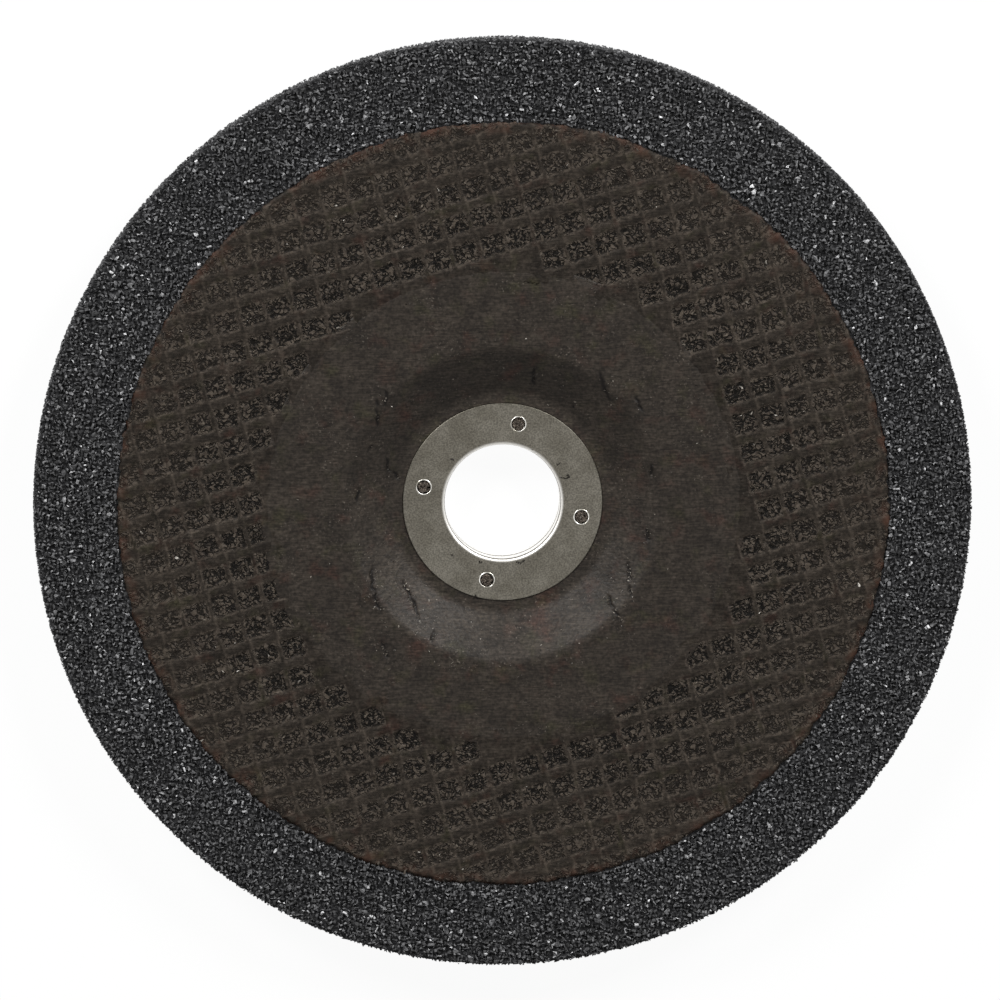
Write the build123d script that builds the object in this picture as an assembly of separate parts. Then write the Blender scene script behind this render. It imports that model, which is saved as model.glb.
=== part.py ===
from build123d import *
from math import cos, hypot, radians, sin, tan
import os

# Depressed-centre grinding wheel, lying on its hub with the working face up
# The origin is on the bore axis, in the plane of the hub's back. Sizes in millimetres, angles in degrees.

# Moulded wheel
wheel_diameter = 180.0
wheel_thickness = 6.0
recess_depth = 4.6
slope_angle = 27.0
floor_margin = 2.15         # flat floor left round the centre ring
foot_round = 3.0            # where the recess floor turns up into the slope
brow_round = 3.0            # where the slope turns over into the flat face
back_edge_round = 3.0       # edge of the raised hub at the back
back_root_round = 3.0       # where the back of the slope meets the flat back
rim_edge_bevel = 0.6

# Centre ring, pressed from steel sheet
bore_diameter = 22.23
ring_diameter = 38.3
ring_sheet = 0.5
ring_lip_round = 0.56
ring_rim_bevel = 0.12
ring_sink = 0.25            # how deep the flange is pressed into the recess floor
tube_setback = 0.3          # the tube ends this far inside the hub's back
ring_hole_count = 4
ring_hole_diameter = 2.7
ring_hole_bevel = 0.18      # burnished edge of a punched hole
first_hole_angle = 78.7

# Woven glass-fibre mesh, pressed flush into the working face
bare_rim_width = 16.0       # gritty rim outside the mesh
weave_angle = 16.0
weft_pitch = 5.82           # broad flat strands
weft_width = 2.2
weft_offset = -0.55         # how far the weave lies off the axis, across each family of strands
warp_pitch = 5.28           # narrow paired strands, bound over the broad ones
warp_width = 1.35
warp_offset = -1.48
pair_groove_width = 0.25    # furrow between the two strands of a pair
pair_groove_depth = 0.15
weft_drop = 0.12            # the broad strands lie this far below the pairs that bind them
cell_depth = 0.4
cell_floor = 0.3            # resin-filled cloth left under a cell
cell_margin = 0.3           # cloth left between a cell and the edge of the woven field

# Reinforcement disc, a flat sheet pressed over the mesh and into the dish
hub_disc_diameter = 93.0
hub_disc_thickness = 0.4

# Worked out from the sizes above
wheel_radius = wheel_diameter / 2
floor_height = wheel_thickness
face_height = wheel_thickness + recess_depth
ring_radius = ring_diameter / 2
tube_inner_radius = bore_diameter / 2
tube_outer_radius = tube_inner_radius + ring_sheet
flange_underside = floor_height - ring_sink
flange_top = flange_underside + ring_sheet
hole_circle_radius = (tube_inner_radius + ring_lip_round + ring_radius) / 2
foot_radius = ring_radius + floor_margin
brow_radius = foot_radius + recess_depth / tan(radians(slope_angle))
mesh_radius = wheel_radius - bare_rim_width
mesh_thickness = cell_depth + cell_floor
hub_disc_radius = hub_disc_diameter / 2
cell_length = warp_pitch - warp_width
cell_width = weft_pitch - weft_width


def dish_corners(depth):
    """Foot and brow of the slope, as (radius, height), on the surface that lies depth below the face."""
    spread = depth * tan(radians(slope_angle) / 2)
    top = face_height - depth
    return (foot_radius + spread, top - recess_depth), (brow_radius + spread, top)


def dished_solid(upper, lower, outer, upper_rounds=(0.0, 0.0), lower_rounds=(0.0, 0.0)):
    """Turned solid round the ring's tube, between two depths below the working face. Rounds are foot, brow."""
    upper_foot, upper_brow = dish_corners(upper)
    lower_foot, lower_brow = dish_corners(lower)
    corners = [
        (tube_outer_radius, upper_foot[1]),
        upper_foot,
        upper_brow,
        (outer, upper_brow[1]),
        (outer, lower_brow[1]),
        lower_brow,
        lower_foot,
        (tube_outer_radius, lower_foot[1]),
    ]
    rounds = [0.0, *upper_rounds, 0.0, 0.0, *reversed(lower_rounds), 0.0]
    outline = FilletPolyline(*corners, radius=rounds, close=True)
    section = Plane.XZ * make_face(outline)
    return revolve(section, Axis.Z)


def ring_seat():
    """Room for the ring's flange, from its underside up past the recess floor."""
    height = face_height - flange_underside
    return Pos(0, 0, flange_underside) * Cylinder(
        ring_radius, height, align=(Align.CENTER, Align.CENTER, Align.MIN)
    )


def mesh_bed():
    """Room that the mesh and the reinforcement disc take up together in the working face."""
    cloth = dished_solid(0.0, mesh_thickness, mesh_radius)
    under_disc = dished_solid(0.0, hub_disc_thickness + mesh_thickness, hub_disc_radius + mesh_thickness)
    return cloth + under_disc


def strand_gaps(pitch, offset):
    """Middles of the gaps between one family of strands, across the whole cloth."""
    reach = int(mesh_radius / pitch) + 2
    return [offset + (index + 0.5) * pitch for index in range(-reach, reach)]


def in_weave(x, y):
    """Whether a point of the cloth lies in the open field, between the disc's edge and the cloth's."""
    return hub_disc_radius + cell_margin < hypot(x, y) < mesh_radius - cell_margin


def open_cells():
    """Outlines of the cells that lie whole in the open field."""
    half_length = cell_length / 2
    half_width = cell_width / 2
    cells = []
    for across in strand_gaps(warp_pitch, warp_offset):
        for along in strand_gaps(weft_pitch, weft_offset):
            corners = [
                (across + side * half_length, along + end * half_width)
                for side in (-1, 1)
                for end in (-1, 1)
            ]
            if all(in_weave(x, y) for x, y in corners):
                cells.append(Pos(across, along) * Rectangle(cell_length, cell_width))
    return Sketch() + cells


def long_strips(width, middles):
    """Outlines of strips of one width that run along the paired strands, right across the open field."""
    field = Circle(mesh_radius - cell_margin) - Circle(hub_disc_radius + cell_margin)
    strips = Sketch() + [Pos(across, 0) * Rectangle(width, 2 * mesh_radius) for across in middles]
    return field & strips


def sunk(outlines, depth):
    """Solid that cuts outlines, drawn square to the weave, into the flat face to a depth."""
    return extrude(Pos(0, 0, face_height - depth) * Rot(0, 0, weave_angle) * outlines, depth)


def abrasive_wheel():
    """Abrasive grain in resin, moulded in one piece with the dish, the hub and the hole for the ring."""
    back_rounds = (back_edge_round, back_root_round)
    blank = dished_solid(0.0, wheel_thickness, wheel_radius, lower_rounds=back_rounds)
    rim_edges = blank.edges().filter_by(GeomType.CIRCLE).group_by(SortBy.RADIUS)[-1]
    return chamfer(rim_edges, rim_edge_bevel) - mesh_bed() - ring_seat()


def hub_reinforcement_disc():
    """Smooth sheet over the middle of the mesh, down the slope and over the recess floor."""
    face_rounds = (foot_round, brow_round)
    return dished_solid(0.0, hub_disc_thickness, hub_disc_radius, upper_rounds=face_rounds) - ring_seat()


def glass_fibre_mesh():
    """Open weave of broad strands bound by narrow pairs, its cells sunk to a resin-filled floor."""
    gaps = strand_gaps(warp_pitch, warp_offset)
    pairs = [gap + warp_pitch / 2 for gap in gaps]
    cloth = mesh_bed() - dished_solid(0.0, hub_disc_thickness, hub_disc_radius) - ring_seat()
    cloth -= sunk(long_strips(cell_length, gaps), weft_drop)
    cloth -= sunk(long_strips(pair_groove_width, pairs), pair_groove_depth)
    return cloth - sunk(open_cells(), cell_depth)


def ring_hole():
    """Punched hole with its burnished edge, hanging down from the top of the flange."""
    hole_radius = ring_hole_diameter / 2
    hang = (Align.CENTER, Align.CENTER, Align.MAX)
    edge = Cone(hole_radius, hole_radius + ring_hole_bevel, ring_hole_bevel, align=hang)
    return Cylinder(hole_radius, ring_sheet, align=hang) + edge


def centre_ring():
    """Flat flange, rounded lip and bore tube, pressed from one sheet, with punched holes in the flange."""
    corners = [
        (tube_inner_radius, tube_setback),
        (tube_inner_radius, flange_top),
        (ring_radius - ring_rim_bevel, flange_top),
        (ring_radius, flange_top - ring_rim_bevel),
        (ring_radius, flange_underside),
        (tube_outer_radius, flange_underside),
        (tube_outer_radius, tube_setback),
    ]
    rounds = [0.0, ring_lip_round, 0.0, 0.0, 0.0, 0.0, 0.0]
    outline = FilletPolyline(*corners, radius=rounds, close=True)
    ring = revolve(Plane.XZ * make_face(outline), Axis.Z)
    for index in range(ring_hole_count):
        turn = radians(first_hole_angle + index * 360 / ring_hole_count)
        ring -= Pos(hole_circle_radius * cos(turn), hole_circle_radius * sin(turn), flange_top) * ring_hole()
    return ring


pieces = {
    "abrasive_wheel": abrasive_wheel(),
    "glass_fibre_mesh": glass_fibre_mesh(),
    "hub_reinforcement_disc": hub_reinforcement_disc(),
    "centre_ring": centre_ring(),
}

os.makedirs("parts", exist_ok=True)
for name, piece in pieces.items():
    export_step(piece, f"parts/{name}.step")
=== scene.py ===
from functools import lru_cache
from math import atan2, cos, exp, hypot, pi, radians, sin, sqrt, tan

import bmesh
import bpy
import numpy as np
from bpy.props import FloatProperty, FloatVectorProperty, IntProperty, PointerProperty
from mathutils import Matrix, Vector, noise


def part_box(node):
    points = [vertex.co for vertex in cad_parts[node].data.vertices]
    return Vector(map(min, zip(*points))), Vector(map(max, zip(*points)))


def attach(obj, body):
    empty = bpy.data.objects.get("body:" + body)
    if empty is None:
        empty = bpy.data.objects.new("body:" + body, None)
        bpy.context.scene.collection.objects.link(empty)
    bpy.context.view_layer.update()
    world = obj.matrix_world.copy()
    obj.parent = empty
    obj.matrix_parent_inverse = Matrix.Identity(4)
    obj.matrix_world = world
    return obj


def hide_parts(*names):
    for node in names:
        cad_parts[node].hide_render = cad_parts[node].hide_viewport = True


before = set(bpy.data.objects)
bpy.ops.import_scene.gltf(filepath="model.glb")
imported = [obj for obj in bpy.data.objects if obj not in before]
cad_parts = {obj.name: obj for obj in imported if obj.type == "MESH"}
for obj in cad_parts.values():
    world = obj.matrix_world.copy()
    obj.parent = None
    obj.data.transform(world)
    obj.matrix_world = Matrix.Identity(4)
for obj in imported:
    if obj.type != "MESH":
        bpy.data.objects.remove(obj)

bl_info = {
    "name": "Grinding Disc",
    "version": (1, 0, 0),
    "blender": (4, 5, 0),
    "location": "View3D > Sidebar > Grinding Disc",
    "description": "Dresses a depressed-centre grinding disc: grit, glass cloth, resin sheet and steel ring",
    "category": "Object",
}

# Sizes are in metres, as the frame's are. MM turns a size in millimetres into metres.
MM = 0.001
UP = (0.0, 0.0, 1.0)
WHEEL = "abrasive_wheel"
CLOTH = "glass_fibre_mesh"
SHEET = "hub_reinforcement_disc"
RING = "centre_ring"

# Places taken from the solids
WHEEL_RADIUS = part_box(WHEEL)[1].x
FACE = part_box(WHEEL)[1].z
CLOTH_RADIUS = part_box(CLOTH)[1].x
SHEET_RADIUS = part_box(SHEET)[1].x
RING_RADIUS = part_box(RING)[1].x
FLANGE_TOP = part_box(RING)[1].z

# Sections of the moulding, as the solids have them
FLOOR = 6.0 * MM
FLAT_BACK = 4.6 * MM
FOOT_RADIUS = 21.3 * MM
BROW_RADIUS = 30.33 * MM
BORE_RADIUS = 11.115 * MM
BORE_HOLE_RADIUS = 11.7 * MM
SHEET_THICKNESS = 0.4 * MM
SLOPE = radians(27)
TURN_ROUND = 3.0 * MM * tan(SLOPE / 2)      # how far a 3 mm round reaches from its corner
BACK_STEP = 6.0 * MM * tan(SLOPE / 2)       # the back's foot and brow lie this far outside the face's
RING_HOLES = 4
RING_HOLE_RADIUS = 1.35 * MM
RING_HOLE_CIRCLE = 15.41 * MM
FIRST_RING_HOLE = radians(78.7)

# Lay of the cloth, in millimetres on axes square to it
WEAVE_ANGLE = radians(16)
WEFT_PITCH = 5.82
WEFT_HALF = 1.1
WEFT_OFFSET = -0.55
WARP_PITCH = 5.28
WARP_HALF = 0.68
WARP_OFFSET = -1.48

HIGHLIGHT_SIDE = radians(222)                   # the painted highlight on the slope of the dish is strongest there

GRAIN_CORNERS = 8
GRAIN_KINDS = 16
ROUND_SEGMENTS = 5
SECTORS = 12

# Sockets of a Mix node that mixes colours
MIX_FIRST = 6
MIX_SECOND = 7
MIX_RESULT = 2


def paint(code):
    """Linear colour of an sRGB hex code."""
    parts = [int(code[start : start + 2], 16) / 255 for start in (1, 3, 5)]
    return [part / 12.92 if part <= 0.04045 else ((part + 0.055) / 1.055) ** 2.4 for part in parts] + [1.0]


def colour_property(name, description, code):
    """Colour that a user may change, with its default as an sRGB hex code."""
    return FloatVectorProperty(
        name=name,
        description=description,
        default=paint(code),
        size=4,
        min=0.0,
        max=1.0,
        subtype="COLOR",
    )


def length_property(name, description, length):
    """Length that a user may change."""
    return FloatProperty(name=name, description=description, default=length, unit="LENGTH")


def angle_property(name, description, angle):
    """Angle that a user may change."""
    return FloatProperty(name=name, description=description, default=angle, subtype="ANGLE")


class GritSettings(bpy.types.PropertyGroup):
    rim_spacing: length_property("Rim grain spacing", "Distance between grains on the bare rim", 0.73 * MM)
    rim_size: length_property("Rim grain size", "Middle length of the grains on the bare rim", 0.98 * MM)
    cell_spacing: length_property(
        "Cell grain spacing", "Distance between the grains that show in the cells of the cloth", 0.9 * MM
    )
    seed: IntProperty(name="Seed", description="Start of all random draws", default=7)


class ClothSettings(bpy.types.PropertyGroup):
    grid: length_property("Cloth grid", "Spacing of the points that carry the relief of the cloth", 0.36 * MM)
    cell_depth: length_property(
        "Cell depth", "How deep an open cell lies below the strands near the middle", 0.36 * MM
    )


class FinishSettings(bpy.types.PropertyGroup):
    resin_dark: colour_property("Dark resin", "Colour of the pressed resin where it is darkest", "#332E29")
    resin_light: colour_property("Light resin", "Colour of the pressed resin where it is palest", "#474039")
    steel_dark: colour_property("Dark steel", "Colour of the steel ring where it is darkest", "#656158")
    steel_light: colour_property("Light steel", "Colour of the steel ring where it is palest", "#757168")


class StudioSettings(bpy.types.PropertyGroup):
    tilt: angle_property(
        "Camera tilt", "Angle between the camera's line of sight and the disc's axis", radians(9.7)
    )
    distance: length_property("Camera distance", "From the camera to the point it is aimed at", 2.0)
    picture_width: length_property(
        "Picture width", "Width of what the camera takes in at that point", 191.3876 * MM
    )
    key_height: angle_property(
        "Key light height", "Angle of the key lights above the working face", radians(32)
    )
    key_spread: angle_property(
        "Key light spread", "How far each key light stands to its side of the far end", radians(41)
    )
    key_distance: length_property("Key light distance", "From each key light to the disc", 2.2)
    key_size: length_property("Key light size", "Width of each round key light", 0.7)
    key_power: FloatProperty(
        name="Key light power",
        description="Power of each key light",
        default=54.0,
        unit="POWER",
    )
    fill: FloatProperty(
        name="Fill",
        description="Strength of the even light from all sides, where 1 is white",
        default=0.06,
    )


# Helpers for meshes


def smoothstep(value, low, high):
    """0 below low, 1 above high, and a smooth rise between."""
    part = min(max((value - low) / (high - low), 0.0), 1.0)
    return part * part * (3 - 2 * part)


def mesh_from(bm, name, smooth=False):
    """Ends a bmesh and gives it back as a mesh."""
    mesh = bpy.data.meshes.new(name)
    bm.to_mesh(mesh)
    bm.free()
    mesh.polygons.foreach_set("use_smooth", [smooth] * len(mesh.polygons))
    return mesh


def add_piece(name, mesh, material, node=None):
    """Makes the mesh an object that rides on the body, with the given material.

    node is the solid that the piece is seen in place of.
    """
    mesh.materials.append(material)
    piece = bpy.data.objects.new(name, mesh)
    bpy.context.scene.collection.objects.link(piece)
    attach(piece, "root")
    if node:
        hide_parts(node)
    return piece


def add_attribute(mesh, name, values):
    """Gives each point of a mesh a value that its material reads."""
    layer = mesh.attributes.new(name, "FLOAT", "POINT")
    layer.data.foreach_set("value", values)


def spun(corners, spacing, steps):
    """Solid of revolution from the corners of its section: each has a radius, a height and its round's reach.

    spacing gives the distance between rings for a place (radius, height) of the section. One sector is spun
    and repeated, because a whole turn in many small steps is slow.
    """
    bm = bmesh.new()
    verts = [bm.verts.new((radius, 0, height)) for radius, height, reach in corners]
    bm.faces.new(verts)
    for vert, (radius, height, reach) in zip(verts, corners):
        if reach:
            bmesh.ops.bevel(
                bm,
                geom=[vert],
                offset=reach,
                offset_type="OFFSET",
                segments=ROUND_SEGMENTS,
                profile=0.5,
                affect="VERTICES",
                material=-1,
                clamp_overlap=False,
            )
    bmesh.ops.delete(bm, geom=bm.faces[:], context="FACES_ONLY")
    for edge in bm.edges[:]:
        middle = (edge.verts[0].co + edge.verts[1].co) / 2
        cuts = int(edge.calc_length() / spacing(middle.x, middle.z))
        if cuts:
            bmesh.ops.subdivide_edges(bm, edges=[edge], cuts=cuts)
    sector = 2 * pi / SECTORS
    bmesh.ops.spin(
        bm,
        geom=bm.verts[:] + bm.edges[:],
        cent=(0, 0, 0),
        axis=UP,
        angle=sector,
        steps=steps // SECTORS,
        use_merge=False,
    )
    first = bm.verts[:] + bm.edges[:] + bm.faces[:]
    for index in range(1, SECTORS):
        copy = bmesh.ops.duplicate(bm, geom=first)["geom"]
        turned = [item for item in copy if isinstance(item, bmesh.types.BMVert)]
        bmesh.ops.rotate(bm, verts=turned, cent=(0, 0, 0), matrix=Matrix.Rotation(index * sector, 3, "Z"))
    bmesh.ops.remove_doubles(bm, verts=bm.verts[:], dist=0.004 * MM)
    bmesh.ops.recalc_face_normals(bm, faces=bm.faces[:])
    return bm


def roughened(bm, depth_at):
    """Moves each point inwards along its normal by what depth_at gives for its place."""
    bm.normal_update()
    moves = [(vert, vert.normal * depth_at(vert.co)) for vert in bm.verts]
    for vert, move in moves:
        vert.co -= move
    return bm


def grain_mesh(name, count, rng):
    """Mesh of that many angular grains about the origin: a few hulls of random points, repeated."""
    kinds = min(GRAIN_KINDS, count)
    bm = bmesh.new()
    for _ in range(kinds):
        points = rng.normal(size=(GRAIN_CORNERS, 3))
        points /= np.linalg.norm(points, axis=1)[:, None]
        bmesh.ops.convex_hull(bm, input=[bm.verts.new(point) for point in points])
    edges_each = len(bm.edges) // kinds
    faces_each = len(bm.faces) // kinds
    made = kinds
    while made < count:
        more = min(made, count - made)
        for items in (bm.verts, bm.edges, bm.faces):
            items.ensure_lookup_table()
        block = bm.verts[: more * GRAIN_CORNERS] + bm.edges[: more * edges_each]
        bmesh.ops.duplicate(bm, geom=block + bm.faces[: more * faces_each])
        made += more
    return mesh_from(bm, name)


def add_grains(name, places, sizes, sinks, tones, material, rng, outward=UP, slimness=(0.35, 0.8)):
    """Angular grains in one piece, each turned, sized and bedded in a surface.

    places are points of the surface and outward its normals there, or one for all. sinks say how far a
    grain's top lies below the surface. tones become the attribute that the material shades each grain by.
    slimness is the range of a grain's width and thickness for a length of 1.
    """
    count = len(places)
    mesh = grain_mesh(name, count, rng)
    points = np.empty(count * GRAIN_CORNERS * 3)
    mesh.vertices.foreach_get("co", points)
    points = points.reshape(count, GRAIN_CORNERS, 3)
    shape = np.column_stack([np.ones(count), rng.uniform(*slimness, count), rng.uniform(*slimness, count)])
    points = points * shape[:, None, :]
    turns, _ = np.linalg.qr(rng.normal(size=(count, 3, 3)))
    turns *= np.sign(np.linalg.det(turns))[:, None, None]
    points = np.einsum("nij,nkj->nki", turns, points) * (sizes / 2)[:, None, None]
    outward = np.ones((count, 3)) * outward
    height = np.einsum("nki,ni->nk", points, outward).max(axis=1)
    points += (places - outward * (height + sinks)[:, None])[:, None, :]
    mesh.vertices.foreach_set("co", points.ravel())
    add_attribute(mesh, "tone", np.repeat(tones, GRAIN_CORNERS).astype(np.float32))
    mesh.update()
    return add_piece(name, mesh, material)


def loose_turns(number, rng):
    """That many angles round a circle, loosely even, from a start drawn at random."""
    return (np.arange(number) + rng.uniform(-0.42, 0.42, number)) * 2 * pi / number + rng.uniform(0, 6)


def ring_spots(inner, outer, spacing, rng):
    """Loosely even places in a flat ring, as radii and angles."""
    radii, angles = [], []
    for radius in np.arange(inner, outer, spacing):
        number = int(2 * pi * radius / spacing)
        angles.append(loose_turns(number, rng))
        radii.append(radius + rng.uniform(-0.42, 0.42, number) * spacing)
    return np.clip(np.concatenate(radii), inner, outer), np.concatenate(angles)


def on_face(radii, angles):
    """Points of the working face at those radii and angles."""
    return np.column_stack([radii * np.cos(angles), radii * np.sin(angles), np.full(len(radii), FACE)])


# Relief of the cloth, in millimetres


def ripple(x, y, size, layer):
    """Smooth noise of that size, from about -1 to 1. Each layer is a pattern of its own."""
    return noise.noise(Vector((x / size, y / size, layer)))


@lru_cache(maxsize=None)
def cell_state(i, j):
    """How open a cell of the cloth is, 0 where sheet or resin fills it, and how deep an open one is."""
    across = WARP_OFFSET + (i + 0.5) * WARP_PITCH
    along = WEFT_OFFSET + (j + 0.5) * WEFT_PITCH
    reach = hypot(across, along)
    chance = noise.noise(Vector((i * 0.73, j * 0.61, 4.2)))
    lot = noise.noise(Vector((i * 1.37, j * 1.71, 9.1)))
    filled = reach < 46.6 + 2.2 * chance
    depth = 1.0 + 0.4 * lot - 0.25 * smoothstep(reach, 54, 74)
    return (0.0 if filled else 1.0), depth


def cloth_relief(x, y, cell_depth):
    """Depth of the cloth below the working face at a place, how open it is, and how much painted highlight it
    gets as an edge.

    The edges are those of the cells, and one of each narrow pair where it crosses the broad strands.
    """
    # The strands wander a little, and their sides are ragged
    wave_x = 0.35 * ripple(x, y, 9, 0.5) + 0.12 * ripple(x, y, 1.6, 2.5)
    wave_y = 0.35 * ripple(x, y, 9, 7.5) + 0.12 * ripple(x, y, 1.6, 5.5)
    across = x * cos(WEAVE_ANGLE) + y * sin(WEAVE_ANGLE) + wave_x - WARP_OFFSET
    along = y * cos(WEAVE_ANGLE) - x * sin(WEAVE_ANGLE) + wave_y - WEFT_OFFSET
    openness, depth = cell_state(int(across // WARP_PITCH), int(along // WEFT_PITCH))
    warp_side = (across + WARP_PITCH / 2) % WARP_PITCH - WARP_PITCH / 2
    from_warp = abs(warp_side)
    from_weft = abs((along + WEFT_PITCH / 2) % WEFT_PITCH - WEFT_PITCH / 2)
    ragged = 0.45 * ripple(x, y, 1.0, 6.5)
    off_warp = smoothstep(from_warp + ragged, WARP_HALF - 0.5, WARP_HALF - 0.1)
    off_weft = smoothstep(from_weft - ragged, WEFT_HALF - 0.35, WEFT_HALF + 0.1)
    open_here = off_warp * off_weft * openness

    # A pair has a furrow between its strands, and the sheet flattens all strands near the middle
    relief = 0.25 + 0.75 * smoothstep(hypot(x, y), 44, 50)
    warp = 0.03 + 0.07 * exp(-((from_warp / 0.17) ** 2)) + 0.06 * (from_warp / WARP_HALF) ** 2
    weft = 0.08 + 0.05 * (from_weft / WEFT_HALF) ** 2
    strands = relief * ((1 - off_warp) * warp + off_warp * min(weft, 0.2))
    cell = cell_depth * depth * (0.95 + 0.7 * ripple(x, y, 0.55, 1.5))
    below = (1 - open_here) * strands + open_here * max(cell, 0.02) - 0.16 * open_here * (1 - open_here)
    below += 0.03 * ripple(x, y, 2.5, 3.5) + 0.03 * ripple(x, y, 0.8, 8.5)
    # Painted highlight along one side of each narrow pair, where it crosses the broad strands
    ridge = relief * (1 - off_weft) * exp(-(((warp_side - 0.8 * WARP_HALF) / 0.24) ** 2))
    return below, open_here, 2.8 * open_here * (1 - open_here) + 0.34 * ridge


def cloth_edge(angle):
    """Radius where the woven field ends: the edge wanders a little."""
    place = Vector((cos(angle), sin(angle), 0))
    return CLOTH_RADIUS / MM - 0.2 + 0.5 * noise.noise(place * 9) + 0.5 * noise.noise(place * 45)


# Helpers for materials


def add(tree, kind, sockets=None, stops=(), **settings):
    """Adds a node with its settings and links.

    sockets gives an input a value, a colour as a hex code, or the output that feeds it. stops are the
    (place, colour) stops of a colour ramp, each colour a hex code or a setting.
    """
    node = tree.nodes.new(kind)
    for name, value in settings.items():
        setattr(node, name, value)
    for name, value in (sockets or {}).items():
        if isinstance(value, bpy.types.NodeSocket):
            tree.links.new(value, node.inputs[name])
        else:
            node.inputs[name].default_value = paint(value) if isinstance(value, str) else value
    for index, (place, colour) in enumerate(stops):
        elements = node.color_ramp.elements
        stop = elements[index] if index < 2 else elements.new(place)
        stop.position = place
        stop.color = paint(colour) if isinstance(colour, str) else colour
    return node


def empty_tree(owner):
    """Node tree of a material or a world, with nothing in it."""
    owner.use_nodes = True
    owner.node_tree.nodes.clear()
    return owner.node_tree


def new_material(name):
    """Empty node material: returns the material, its tree and the object coordinates."""
    material = bpy.data.materials.new(name)
    tree = empty_tree(material)
    return material, tree, add(tree, "ShaderNodeTexCoord").outputs["Object"]


def finish_material(tree, colour, roughness, specular, normal=None, metallic=0.0):
    """Surface shader and output."""
    sockets = {
        "Base Color": colour,
        "Roughness": roughness,
        "Specular IOR Level": specular,
        "Metallic": metallic,
    }
    if normal:
        sockets["Normal"] = normal
    shader = add(tree, "ShaderNodeBsdfPrincipled", sockets)
    add(tree, "ShaderNodeOutputMaterial", {"Surface": shader.outputs["BSDF"]})


def clouds(tree, place, size, detail, rough, shift, distortion=0.0):
    """Noise of that size in metres. shift moves it, so that one pattern doesn't repeat another."""
    if shift:
        place = add(tree, "ShaderNodeMapping", {"Vector": place, "Location": shift}).outputs["Vector"]
    sockets = {
        "Vector": place,
        "Scale": 1 / size,
        "Detail": detail,
        "Roughness": rough,
        "Distortion": distortion,
    }
    return add(tree, "ShaderNodeTexNoise", sockets).outputs["Fac"]


def patches(tree, place, size, low, high, detail=3.0, rough=0.55, shift=None):
    """Noise, stretched so that low becomes 0 and high becomes 1."""
    cloud = clouds(tree, place, size, detail, rough, shift)
    sockets = {"Value": cloud, "From Min": low, "From Max": high}
    return add(tree, "ShaderNodeMapRange", sockets, interpolation_type="SMOOTHSTEP").outputs["Result"]


def crevices(tree, place, size, width, shift=None):
    """0 along the winding lines of a noise pattern, 1 away from them."""
    cloud = clouds(tree, place, size, 1.0, 0.5, shift, 0.6)
    middle = add(tree, "ShaderNodeMath", {0: cloud, 1: 0.5}, operation="SUBTRACT").outputs[0]
    away = add(tree, "ShaderNodeMath", {0: middle}, operation="ABSOLUTE").outputs[0]
    sockets = {"Value": away, "From Min": 0.0, "From Max": width}
    return add(tree, "ShaderNodeMapRange", sockets, interpolation_type="SMOOTHSTEP").outputs["Result"]


def axis_distance(tree, place):
    """How far a place lies from the disc's axis."""
    flat = add(tree, "ShaderNodeVectorMath", {0: place, 1: (1, 1, 0)}, operation="MULTIPLY").outputs[0]
    return add(tree, "ShaderNodeVectorMath", {0: flat}, operation="LENGTH").outputs["Value"]


def stained(tree, colour, stains):
    """Lays stains over a colour in turn, each with its amount and its colour."""
    for amount, stain in stains:
        sockets = {"Factor": amount, MIX_FIRST: colour, MIX_SECOND: stain}
        colour = add(tree, "ShaderNodeMix", sockets, data_type="RGBA").outputs[MIX_RESULT]
    return colour


def shaded(tree, colour, share, pattern, stops):
    """Darkens a share of a colour by a pattern. stops say what the pattern multiplies it by."""
    shade = add(tree, "ShaderNodeValToRGB", {"Fac": pattern}, stops).outputs["Color"]
    sockets = {"Factor": share, MIX_FIRST: colour, MIX_SECOND: shade}
    mixed = add(tree, "ShaderNodeMix", sockets, data_type="RGBA", blend_type="MULTIPLY")
    return mixed.outputs[MIX_RESULT]


# Materials of the grit


def corundum_grit(name, stops, specular, roughness_range=(0.25, 0.6)):
    """Crushed aluminium oxide in resin, or crumbs of the resin: flat broken faces, one dark, one a glint."""
    material, tree, place = new_material(name)
    tone = add(tree, "ShaderNodeAttribute", attribute_name="tone").outputs["Fac"]
    grain = add(tree, "ShaderNodeValToRGB", {"Fac": tone}, stops).outputs["Color"]
    pits = patches(tree, place, 0.35 * MM, 0.3, 0.7)
    colour = shaded(tree, grain, 0.8, pits, [(0.0, "#707070"), (1.0, "#FFFFFF")])
    dull = patches(tree, place, 0.6 * MM, 0.2, 0.8, shift=(3, 1, 2))
    low, high = roughness_range
    roughness = add(tree, "ShaderNodeMapRange", {"Value": dull, "To Min": low, "To Max": high})
    finish_material(tree, colour, roughness.outputs["Result"], specular)
    return material


def grit_bed():
    """Phenolic resin between the grains: dark, and painted nearly black as painted shade of the deep gaps,
    where little light gets down.
    """
    material, tree, place = new_material("phenolic_resin_between_grains")
    lumpy = patches(tree, place, 0.6 * MM, 0.3, 0.75, 4)
    # Painted shade: these stops are darker than the resin itself, for the gaps between grains
    stops = [(0.0, "#060606"), (0.5, "#222223"), (1.0, "#3C3C3D")]
    colour = add(tree, "ShaderNodeValToRGB", {"Fac": lumpy}, stops).outputs["Color"]
    bump = add(tree, "ShaderNodeBump", {"Strength": 0.8, "Distance": 0.1 * MM, "Height": lumpy})
    finish_material(tree, colour, 0.7, 0.08, bump.outputs["Normal"])
    return material


# Materials of the cloth and the sheet


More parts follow.
